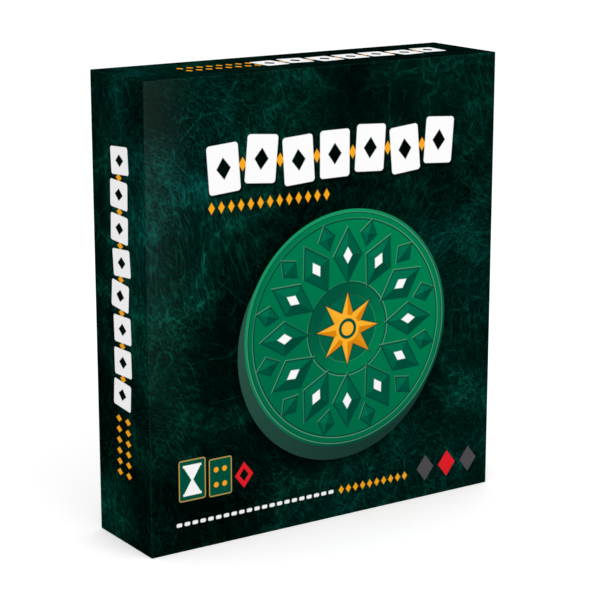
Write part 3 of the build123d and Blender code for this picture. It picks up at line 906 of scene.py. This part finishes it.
# Rosette on the front: a round plaque, printed as if cut in low relief and lit from above left.
ROSETTE_AT = (0.0135, 0.1150)
ROSETTE_RADIUS = 0.0712
ROSETTE_THICK = (0.0045, 0.0075)   # how far its edge shows on the left and below
ROSETTE_LIGHT = 2.2                # where the drawn light comes from, as an angle on the face
ROSETTE_RIM = 0.0690
DISH_RADIUS = 0.0271
DISH_FOOT = 0.0196
FLOOR_RADIUS = 0.0193
HUB_RADIUS = 0.0082
HUB_RING = (0.0052, 0.0010)        # radius, half the width
# grooves: radius, half the width
GROOVES = ((ROSETTE_RIM, 0.00025), (0.0652, 0.00045), (0.0276, 0.00050), (DISH_FOOT, 0.00022))
# rings of gems: how many, turned by how much of a step, how far out, half the length and width
PETALS = (12, 0.0, 0.0440, 0.0150, 0.0092)
DARTS = (12, 0.5, 0.0572, 0.0066, 0.0050)
PIPS = (12, 0.0, 0.0440, 0.0050, 0.0031)
RAYS = (8, 0.0, 0.0, 0.0215, 0.0066)
ROSETTE_GREEN = ink(0, 124, 77)
ROSETTE_DEEP = ink(0, 92, 66)
ROSETTE_SHADE = ink(4, 66, 54)
ROSETTE_HIGHLIGHT = ink(120, 176, 140)


def facing_light(angle):
    """How far a slope that looks that way faces the drawn light, from -1 to 1."""
    return (angle - ROSETTE_LIGHT).math("COSINE")


def gem_ring(radius, angle, ring):
    """A ring of cut gems: the distance from their outline, and how far each facet faces the light."""
    count, shift, away, half_out, half_across = ring
    part = angle * (count / (2 * pi)) + (0.5 + shift)
    near_angle = (part.math("FRACT") - 0.5) * (2 * pi / count)
    out = radius * near_angle.math("COSINE") - away
    across = radius * near_angle.math("SINE")
    slope = atan2(half_out, half_across)
    end = out.math("SIGN") * (slope - pi / 2) + pi / 2
    facing = facing_light(angle - near_angle + across.math("SIGN") * end)
    return lozenge_at(out, across, half_out, half_across), facing


def print_rosette(colour, front, place):
    """The front's colour with the rosette on it, and the mask of the rosette's white pips."""
    x, _, z = place.parts()
    u = x - ROSETTE_AT[0]
    w = z - ROSETTE_AT[1]
    radius = (u ** 2 + w ** 2) ** 0.5
    edge = ((u + ROSETTE_THICK[0]) ** 2 + (w + ROSETTE_THICK[1]) ** 2) ** 0.5 - ROSETTE_RADIUS
    angle = w.math("ARCTAN2", u)
    lit = facing_light(angle)
    sheen = (u * 0.6 + w * 0.8 + place.noise(26, 2) * 0.02).ramp(-0.055, 0.065)

    # its painted shadow on the hide, then its thick edge in painted light and shade
    colour = (front * edge.ramp(-0.001, 0.0075, 0.8, 0.0)).blend(colour, PAINTED_SHADOW_BLACK)
    wall = lit.ramp(-1.0, 1.0).blend(ink(24, 56, 48), ink(46, 88, 74))
    colour = (front * inside(edge) * 0.97).blend(colour, wall)
    # its face: a painted sheen, a bevel at the rim in painted light and shade, then grooves in painted
    # shade, each with a painted highlight line beside it
    face = sheen.blend(ink(0, 104, 70), ROSETTE_GREEN)
    bevel = lit.ramp(-0.8, 0.9).blend(ink(0, 78, 58), ink(22, 148, 98))
    face = inside(ROSETTE_RIM - radius).blend(face, bevel)
    for groove, half in GROOVES:
        face = (inside(abs(radius - groove) - half) * 0.9).blend(face, ROSETTE_SHADE)
        highlight_line = inside(abs(radius - (groove + half + 0.0002)) - 0.00016)
        face = (highlight_line * lit.ramp(0.2, 0.9, 0.9, 0.12)).blend(face, ROSETTE_HIGHLIGHT)
    # a dish in the middle: its slope in painted light and shade, its floor a deeper green with a painted
    # sheen
    slope = inside(radius - DISH_RADIUS) * (1 - inside(radius - DISH_FOOT))
    face = (slope * 0.75).blend(face, lit.ramp(-0.9, 0.9).blend(ROSETTE_GREEN, ROSETTE_SHADE))
    face = inside(radius - FLOOR_RADIUS).blend(face, sheen.blend(ROSETTE_DEEP, ink(0, 100, 70)))
    # petals and darts, each in a seat of painted shade with one painted highlight edge, their facets in
    # painted light and shade
    for ring in (PETALS, DARTS):
        gem, gem_lit = gem_ring(radius, angle, ring)
        face = (inside(gem - 0.0009) * 0.85).blend(face, ROSETTE_SHADE)
        seat_highlight = inside(abs(gem - 0.0010) - 0.00015)
        face = (seat_highlight * gem_lit.ramp(0.3, 0.9) * 0.8).blend(face, ROSETTE_HIGHLIGHT)
        facets = gem_lit.ramp(-1.0, 1.0).blend(ink(0, 72, 54), ink(0, 112, 78))
        face = inside(gem).blend(face, facets)
    colour = (front * inside(radius - ROSETTE_RADIUS)).blend(colour, face)
    # an orange star with a flat hub in painted light and shade, and painted shade round it
    ray, ray_lit = gem_ring(radius, angle, RAYS)
    hub = inside(radius - HUB_RADIUS)
    star = inside(ray).most(hub) * (1 - inside(abs(radius - HUB_RING[0]) - HUB_RING[1]))
    star_lit = (ray_lit * (1 - hub) + hub * 0.3).ramp(-0.25, 0.25)
    seat = inside(ray - 0.0006) * inside(radius - DISH_RADIUS)
    colour = (front * seat * 0.7).blend(colour, ROSETTE_SHADE)
    colour = (front * star).blend(colour, star_lit.blend(ink(218, 132, 14), ink(252, 178, 44)))
    pips, _ = gem_ring(radius, angle, PIPS)
    return colour, inside(pips)


# Small print at the foot of the front: two plates with an hourglass and four dots, and a red ring.
# each plate: its middle across and up, half its width and height, and its corner's radius
GLASS_PLATE = (-0.0930, 0.0420, 0.0088, 0.0122, 0.0016)
DOTS_PLATE = (-0.0744, 0.0405, 0.0076, 0.0113, 0.0014)
GLASS_HALF = 0.0082
GLASS_SLOPE = 0.62
GLASS_WAIST = 0.0006
GLASS_CAP = (0.0060, 0.0084, 0.0007)   # half its width, how far from the middle, half its height
DOT_AT = (0.0028, 0.0045)              # from the plate's middle, across and up
DOT_RADIUS = 0.0016
RED_RING = (-0.0585, 0.0385, 0.0062, 0.0078)   # its middle, and half its width and height
RED_RING_HALF = 0.0011                 # half the width of its line


def print_small_signs(colour, front, place):
    """The front's colour with the plates, the ring and the corner gems, and its white and orange."""
    x, _, z = place.parts()
    glass_u = x - GLASS_PLATE[0]
    glass_w = abs(z - GLASS_PLATE[1])
    dots_u = x - DOTS_PLATE[0]
    dots_w = z - DOTS_PLATE[1]
    glass_plate = rounded_block(glass_u, glass_w, *GLASS_PLATE[2:])
    plates = glass_plate.least(rounded_block(dots_u, dots_w, *DOTS_PLATE[2:]))
    colour = (front * inside(plates)).blend(colour, ink(0, 78, 58))
    colour = (front * inside(abs(plates + 0.0003) - 0.0003)).blend(colour, PRINT_GOLD)
    glass = inside(glass_w - GLASS_HALF) * inside(abs(glass_u) - glass_w * GLASS_SLOPE - GLASS_WAIST)
    cap_u, cap_w, cap_half = GLASS_CAP
    caps = inside(abs(glass_w - cap_w) - cap_half) * inside(abs(glass_u) - cap_u)
    dot_u = abs(dots_u) - DOT_AT[0]
    dot_w = abs(dots_w) - DOT_AT[1]
    dots = inside((dot_u ** 2 + dot_w ** 2) ** 0.5 - DOT_RADIUS)
    ring = lozenge_at(x - RED_RING[0], z - RED_RING[1], *RED_RING[2:])
    ring = inside(abs(ring + RED_RING_HALF) - RED_RING_HALF)
    gems, number = lozenge_row(x, z, CORNER_GEMS)
    red_gem = inside(abs(number) - 0.5)
    colour = (front * gems * (1 - red_gem)).blend(colour, PRINT_GREY)
    colour = (front * (gems * red_gem).most(ring)).blend(colour, PRINT_RED)
    return colour, glass.most(caps), dots


def print_front(colour, front, place):
    """The front's colour, and the masks of what is printed on it in plain white and orange."""
    x, _, z = place.parts()
    colour = shade_front(colour, front, place)
    tiles, between, shade = tile_frieze(x, z, FRONT_TILES)
    # painted shadow of the tiles on the hide
    colour = (front * shade).blend(colour, PAINTED_SHADOW_BLACK)
    colour, pips = print_rosette(colour, front, place)
    colour, signs, dots = print_small_signs(colour, front, place)
    lozenges, _ = lozenge_row(x, z, FRONT_LOZENGES)
    rule_lozenges, _ = lozenge_row(x, z, RULE_LOZENGES)
    middle_u, middle_w, step, count, half_u, half_w = RULE_DASHES
    dash, _ = repeat(x - middle_u, step, count)
    dashes = inside(rounded_block(dash, z - middle_w, half_u, half_w, DASH_CORNER))
    white = tiles.most(dashes).most(pips).most(signs)
    orange = between.most(lozenges).most(rule_lozenges).most(dots)
    return colour, white * front, orange * front


def print_edge(colour, face, along, across, tile_row, lozenges):
    """The same for a long or a short side: a frieze of tiles with their painted shadow, and two lines of
    lozenges.
    """
    tiles, between, shade = tile_frieze(along, across, tile_row)
    # painted shadow of the tiles on the hide
    colour = (face * shade).blend(colour, PAINTED_SHADOW_BLACK)
    lines, _ = lozenge_row(along, abs(across), lozenges)
    return colour, tiles * face, between.most(lines) * face


def lid_print_finish():
    finish, shader, place = new_finish("lid_leather_print", Specular_IOR_Level=0.0)
    low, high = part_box("lid_wrap")
    middle = (low + high) / 2
    x, y, z = place.parts()
    front = inside(y - (low.y + PRINT_SKIN), SKIN_SOFT)
    sides = inside((high.x - PRINT_SKIN) - abs(x), SKIN_SOFT)
    ends = inside((high.z - middle.z - PRINT_SKIN) - abs(z - middle.z), SKIN_SOFT)

    colour, relief = marbled_leather(place)
    colour, front_white, front_orange = print_front(colour, front, place)
    colour, side_white, side_orange = print_edge(colour, sides, z, -y, SIDE_TILES, SIDE_LOZENGES)
    # painted shade: the hide of the short sides darkens towards the right, nearly to black
    colour = (ends * x.ramp(-0.100, 0.040, 0.15, 0.75)).blend(colour, PAINTED_SHADE_BLACK)
    colour, end_white, end_orange = print_edge(colour, ends, x, y, END_TILES, END_LOZENGES)
    white = front_white.most(side_white).most(end_white)
    orange = front_orange.most(side_orange).most(end_orange)
    colour = orange.blend(colour, PRINT_ORANGE)
    colour = white.blend(colour, TILE_WHITE)
    finish_paper(shader, place, colour, relief * (1 - white.most(orange)))
    return finish


wear(nodes["lid_wrap"], lid_print_finish())

# Setting: a pale floor under plain white light, and the camera at the picture's angle.
# The floor and the world look white to the camera, with no more light on the object.
CAMERA_AZIMUTH = -33.56
CAMERA_ELEVATION = 13.82
CAMERA_AWAY = 1.185
CAMERA_HEIGHT = 0.1279     # height of the point that the camera looks at
CAMERA_LENS = 120.0
LIGHTS_HEIGHT = 0.13       # height of the point that the lights face
FLOOR_SIZE = 12.0
FLOOR_GLOW = 0.33          # seen by the camera alone
WORLD_LIGHT = 0.72


def floor_finish():
    finish, shader, place = new_finish("pale_floor", Specular_IOR_Level=0.0, Roughness=1.0)
    cloud = place.noise(3, 2)
    seen = place.add("LightPath", output="Is Camera Ray")
    connect(shader, Base_Color=cloud.ramp(0.3, 0.7).blend(ink(243, 243, 243), ink(247, 247, 247)))
    connect(shader, Emission_Color=(seen * FLOOR_GLOW).blend((0, 0, 0, 1), (1, 1, 1, 1)))
    shader.inputs["Emission Strength"].default_value = 1.0
    return finish


bpy.ops.object.select_all(action="DESELECT")
bpy.ops.mesh.primitive_plane_add(size=FLOOR_SIZE, location=(0, 0, cad_box[0].z))
floor = bpy.context.object
floor.name = "floor"
settle(floor)
wear(floor, floor_finish())

world = bpy.data.worlds.new("studio")
bpy.context.scene.world = world
world.use_nodes = True
background = world.node_tree.nodes["Background"]
background.inputs["Color"].default_value = (1, 1, 1, 1)
sky = Paint(background.outputs["Background"])
seen = sky.add("LightPath", output="Is Camera Ray")
seen = seen.most(sky.add("LightPath", output="Is Glossy Ray"))
seen = seen.most(sky.add("LightPath", output="Is Transmission Ray"))
connect(background, Strength=seen.ramp(0.0, 1.0, WORLD_LIGHT, 1.0))


def soft_light(name, place, size, power):
    bpy.ops.object.light_add(type="AREA", location=place)
    light = bpy.context.object
    light.name = name
    light.data.shape = "SQUARE"
    light.data.size = size
    light.data.energy = power
    away = Vector((0, 0, LIGHTS_HEIGHT)) - Vector(place)
    light.rotation_euler = away.to_track_quat("-Z", "Y").to_euler()


soft_light("front_light", (0.5, -2.0, 1.5), 1.6, 16)
soft_light("side_light", (-2.0, -0.6, 1.0), 1.4, 4)
soft_light("top_light", (0.0, 0.2, 2.4), 1.6, 5.5)

bpy.ops.object.camera_add()
camera = bpy.context.object
turn, rise = radians(CAMERA_AZIMUTH), radians(CAMERA_ELEVATION)
away = Vector((sin(turn) * cos(rise), -cos(turn) * cos(rise), sin(rise)))
camera.location = Vector((0, 0, CAMERA_HEIGHT)) + away * CAMERA_AWAY
camera.rotation_mode = "QUATERNION"
camera.rotation_quaternion = away.to_track_quat("Z", "Y")
camera.data.lens = CAMERA_LENS
bpy.context.scene.camera = camera
bpy.context.scene.view_settings.view_transform = "Standard"
